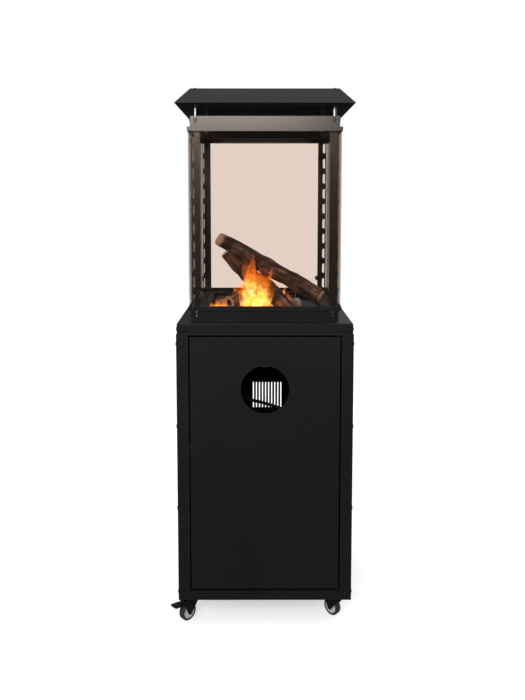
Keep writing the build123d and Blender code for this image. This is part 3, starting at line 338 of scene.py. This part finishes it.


# The lighter edge colours given to the paints below are painted edge highlights
materials = {
    "black_paint": finish_material("powder_coat", (0.0044, 0.0043, 0.0043),
                                   (0.0052, 0.0051, 0.0050),
                                   (0.40, 0.43), specular=0.16, patch=3.0,
                                   edge_highlight=(0.03, 0.029, 0.028)),
    "dark_steel": finish_material("blackened_steel", (0.05, 0.05, 0.05), (0.09, 0.09, 0.09),
                                  (0.32, 0.45), metallic=1.0, edge_highlight=(0.3, 0.3, 0.3)),
    "bright_steel": finish_material("zinc_plate", (0.42, 0.42, 0.43), (0.58, 0.58, 0.60),
                                    (0.22, 0.36),
                                    metallic=1.0, grain=400.0, patch=40.0),
    "tyre_rubber": finish_material("rubber", (0.012, 0.012, 0.012), (0.022, 0.022, 0.022),
                                   (0.6, 0.8),
                                   specular=0.3, grain=600.0, grain_depth=0.0002),
    "grey_plastic": finish_material("grey_moulding", (0.34, 0.34, 0.35), (0.42, 0.42, 0.43),
                                    (0.35, 0.45),
                                    grain=1500.0),
    "black_plastic": finish_material("black_moulding", (0.010, 0.010, 0.010),
                                     (0.016, 0.016, 0.016),
                                     (0.25, 0.4), grain=1500.0),
    "brass": finish_material("machined_brass", (0.42, 0.28, 0.10), (0.58, 0.42, 0.18),
                             (0.25, 0.42),
                             metallic=1.0, grain=700.0),
    "stainless": finish_material("heat_tinted_steel", (0.16, 0.13, 0.11), (0.34, 0.30, 0.28),
                                 (0.35, 0.55),
                                 metallic=1.0, patch=30.0),
    "cast_alloy": finish_material("cast_alloy", (0.30, 0.30, 0.31), (0.42, 0.42, 0.43),
                                  (0.45, 0.6),
                                  metallic=1.0, grain=300.0, grain_depth=0.0003),
    "glass": glass_material(),
    "ceramic": log_material("log", (1, 0, 0)),
}
# Glossier copy of the black powder coat with a warm specular tint: painted sheen and painted warm
# reflection on the collar, top rim and posts
lantern_sheen_coat = finish_material("lantern_sheen_coat", (0.0050, 0.0042, 0.0038), (0.0058, 0.0048, 0.0043),
                               (0.22, 0.25), specular=0.8, patch=3.0, edge_highlight=(0.05, 0.046, 0.043),
                               tint=(1.0, 0.86, 0.78))
# Copy of the black powder coat with stronger specular: painted sheen on the roof
roof_sheen_coat = finish_material("roof_sheen_coat", (0.0045, 0.0044, 0.0043), (0.0052, 0.0051, 0.0050),
                            (0.40, 0.44), specular=0.35, patch=3.0, edge_highlight=(0.03, 0.029, 0.028))
LANTERN_NODES = ("collar", "top_rim", "lantern_post_front_left", "lantern_post_front_right",
                 "lantern_post_rear_left", "lantern_post_rear_right")
flame = flame_material()


def dress_nodes():
    """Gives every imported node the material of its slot."""
    for entry in frame["record"]["subparts"]:
        if entry["node"] in nodes:
            mesh = nodes[entry["node"]].data
            mesh.materials.clear()
            # The lantern parts get a glossier copy of the black paint: painted sheen
            coat = lantern_sheen_coat if entry["node"] in LANTERN_NODES else materials[entry["material_slot"]]
            # The roof gets the copy with stronger specular: painted sheen
            coat = roof_sheen_coat if entry["node"] == "roof" else coat
            mesh.materials.append(coat)


def new_object(name, mesh, slot, material=None):
    """A piece of the heater's fixed body, in a material of its own or its slot's."""
    piece = bpy.data.objects.new(name, mesh)
    bpy.context.scene.collection.objects.link(piece)
    mesh.materials.clear()
    mesh.materials.append(material or materials[slot])
    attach(piece, "heater")
    return piece


def make_log(name):
    """Replaces a plain log by one with furrowed bark, inside the plain one's size."""
    mesh = nodes[name].data.copy()
    piece = new_object(name + "_bark", mesh, "ceramic")
    remesh = piece.modifiers.new("even_mesh", "REMESH")
    remesh.mode = "VOXEL"
    remesh.voxel_size = LOG_VOXEL
    remesh.use_smooth_shade = True
    piece.modifiers.new("soften", "SMOOTH").iterations = 6
    graph = bpy.context.evaluated_depsgraph_get()
    shaped = bpy.data.meshes.new_from_object(piece.evaluated_get(graph))
    piece.modifiers.clear()
    piece.data = shaped
    along = Vector(LOG_AXES[name]).normalized()
    for vertex in shaped.vertices:
        place = vertex.co
        furrow = place - along * (place.dot(along) * 0.85)
        depth = abs(noise.noise(furrow * 95.0)) + 0.5 * noise.noise(place * 42.0) - 0.35
        vertex.co = place + vertex.normal * (BARK_DEPTH * min(0.35, depth))
    shaped.materials.clear()
    shaped.materials.append(log_material(name, LOG_AXES[name]))
    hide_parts(name)


def make_flames():
    """Closed tapering tongues that sway as they rise from the burner's ports."""
    grid = bmesh.new()
    rise = grid.verts.layers.float.new("rise")
    for index, (foot, height, width, lean) in enumerate(FLAMES):
        rings = []
        for i in range(FLAME_RINGS):
            t = i / (FLAME_RINGS - 1)
            size = width * max(0.02, math.sin(math.pi * min(1.0, 0.16 + 0.84 * t)) ** 0.9)
            size *= 1 - 0.55 * t
            sway = lean * t ** 1.5 + 0.28 * width * math.sin(5.0 * t + 1.7 * index)
            middle = Vector(foot) + Vector((sway, 0.2 * width * math.sin(4.0 * t + index),
                                            height * t))
            ring = []
            for k in range(FLAME_SIDES):
                turn = 2 * math.pi * k / FLAME_SIDES
                lobe = 1 + 0.22 * math.sin(3 * turn + 4.0 * t + index)
                offset = Vector((math.cos(turn) * lobe, 0.55 * math.sin(turn) * lobe, 0)) * size
                vertex = grid.verts.new(middle + offset)
                vertex[rise] = t
                ring.append(vertex)
            rings.append(ring)
        for below, above in zip(rings, rings[1:]):
            for k in range(FLAME_SIDES):
                after = (k + 1) % FLAME_SIDES
                grid.faces.new((below[k], below[after], above[after], above[k]))
        grid.faces.new(list(reversed(rings[0])))
        grid.faces.new(rings[-1])
    mesh = bpy.data.meshes.new("flames")
    grid.to_mesh(mesh)
    grid.free()
    for face in mesh.polygons:
        face.use_smooth = True
    new_object("flames", mesh, "ceramic", flame)


def lathe(name, profile, center, slot, axis="Z"):
    """A turned piece from (radius, distance along the axis) pairs."""
    grid = bmesh.new()
    rings = []
    for radius, along in profile:
        ring = []
        for k in range(LATHE_SIDES):
            turn = 2 * math.pi * k / LATHE_SIDES
            a, b = radius * math.cos(turn), radius * math.sin(turn)
            local = {"X": (along, a, b), "Z": (a, b, along)}[axis]
            ring.append(grid.verts.new(Vector(center) + Vector(local)))
        rings.append(ring)
    for below, above in zip(rings, rings[1:] + rings[:1]):
        for k in range(LATHE_SIDES):
            after = (k + 1) % LATHE_SIDES
            grid.faces.new((below[k], below[after], above[after], above[k]))
    bmesh.ops.recalc_face_normals(grid, faces=grid.faces)
    mesh = bpy.data.meshes.new(name)
    grid.to_mesh(mesh)
    grid.free()
    for face in mesh.polygons:
        face.use_smooth = True
    return new_object(name, mesh, slot)


def make_hose():
    """Gas hose on its route, with a crimped ferrule at each end."""
    route = [Vector(point) * MM for point in HOSE_ROUTE]
    curve = bpy.data.curves.new("gas_hose_line", "CURVE")
    curve.dimensions = "3D"
    curve.bevel_depth = HOSE_DIAMETER / 2
    curve.bevel_resolution = 8
    curve.use_fill_caps = True
    spline = curve.splines.new("NURBS")
    spline.points.add(len(route) - 1)
    for point, place in zip(spline.points, route):
        point.co = (*place, 1.0)
    spline.order_u = 3
    spline.use_endpoint_u = True
    spline.resolution_u = 24
    curve.materials.append(materials["tyre_rubber"])
    hose = bpy.data.objects.new("gas_hose_line", curve)
    bpy.context.scene.collection.objects.link(hose)
    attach(hose, "heater")
    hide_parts("gas_hose")
    radius = HOSE_DIAMETER / 2
    grooves = [(radius + END_RISE, 0.0)]
    for i in range(FERRULE_RINGS):
        ring = i * FERRULE_STEP + 1.0 * MM
        grooves += [(radius + RING_RISE, ring), (radius + RING_RISE, ring + RING_WIDTH),
                    (radius + GROOVE_RISE, (i + 1) * FERRULE_STEP)]
    grooves.append((radius + END_RISE, FERRULE_RINGS * FERRULE_STEP))
    profile = [(reach, -depth) for reach, depth in grooves]
    valve_end = lathe("hose_ferrule_valve", profile, route[0], "brass", "X")
    regulator_end = lathe("hose_ferrule_regulator", profile, route[-1], "brass")


def make_world():
    """White behind the heater; softer and darker in its reflections."""
    world = bpy.data.worlds.new("studio")
    bpy.context.scene.world = world
    world.use_nodes = True
    tree = world.node_tree
    tree.nodes.clear()
    path = add(tree, "ShaderNodeLightPath")
    seen = calc(tree, "MAXIMUM", path.outputs["Is Camera Ray"],
                path.outputs["Is Transmission Ray"])
    way = add(tree, "ShaderNodeSeparateXYZ",
              {0: add(tree, "ShaderNodeTexCoord").outputs["Generated"]})
    height = remap(tree, way.outputs["Z"], -1.0, 1.0, 0.0, 1.0)
    reflected = ramp(tree, height, REFLECTED_SKY)
    around = add(tree, "ShaderNodeMix", {"Factor": path.outputs["Is Glossy Ray"]},
                 data_type="RGBA")
    around.inputs["A"].default_value = (AMBIENT, AMBIENT, AMBIENT, 1)
    tree.links.new(reflected, around.inputs["B"])
    whole = add(tree, "ShaderNodeMix", {"Factor": seen}, data_type="RGBA")
    tree.links.new(around.outputs["Result"], whole.inputs["A"])
    whole.inputs["B"].default_value = (BACKGROUND, BACKGROUND, BACKGROUND, 1)
    light = add(tree, "ShaderNodeBackground", {"Color": whole.outputs["Result"], "Strength": 1.0})
    output = add(tree, "ShaderNodeOutputWorld")
    tree.links.new(light.outputs[0], output.inputs["Surface"])


def make_lamp(name, kind, place, power, color=(1, 1, 1)):
    """A lamp that lights the heater and isn't itself seen."""
    lamp = bpy.data.lights.new(name, kind)
    lamp.energy = power
    lamp.color = color
    holder = bpy.data.objects.new(name, lamp)
    holder.location = place
    holder.visible_camera = False
    bpy.context.scene.collection.objects.link(holder)
    return holder


def make_lights():
    """A softbox in front, one behind, and the fire's own light."""
    for name, place, power in (("softbox", SOFTBOX_PLACE, SOFTBOX_POWER),
                               ("rear_softbox", REAR_PLACE, REAR_POWER)):
        softbox = make_lamp(name, "AREA", place, power)
        softbox.data.shape = "RECTANGLE"
        softbox.data.size, softbox.data.size_y = SOFTBOX_SIZE
        aim = Vector((0, 0, 1.0)) - Vector(place)
        softbox.rotation_euler = aim.to_track_quat("-Z", "Y").to_euler()
    fire = make_lamp("fire_light", "POINT", FIRE_PLACE, FIRE_POWER, FIRE_COLOR)
    fire.data.shadow_soft_size = FIRE_RADIUS
    fire.visible_glossy = False


def make_camera():
    """The photo's camera."""
    camera = bpy.data.cameras.new("camera")
    camera.lens = LENS
    camera.sensor_width = 36.0
    camera.sensor_fit = "AUTO"
    camera.shift_y = SHIFT_Y
    holder = bpy.data.objects.new("camera", camera)
    holder.location = CAMERA_PLACE
    holder.rotation_euler = (math.radians(CAMERA_TILT), 0, math.radians(CAMERA_YAW))
    bpy.context.scene.collection.objects.link(holder)
    bpy.context.scene.camera = holder


def make_floor():
    """A wide floor, which is stage and no part of the heater."""
    half = FLOOR_SIZE / 2
    mesh = bpy.data.meshes.new("studio_floor")
    mesh.from_pydata([(-half, -half, 0), (half, -half, 0), (half, half, 0), (-half, half, 0)], [],
                     [(0, 1, 2, 3)])
    mesh.materials.append(floor_material())
    floor = bpy.data.objects.new("studio_floor", mesh)
    bpy.context.scene.collection.objects.link(floor)


make_camera()
make_world()
make_lights()
make_floor()
dress_nodes()
for log in LOG_AXES:
    make_log(log)
make_flames()
make_hose()

bpy.context.scene.view_settings.view_transform = "Standard"
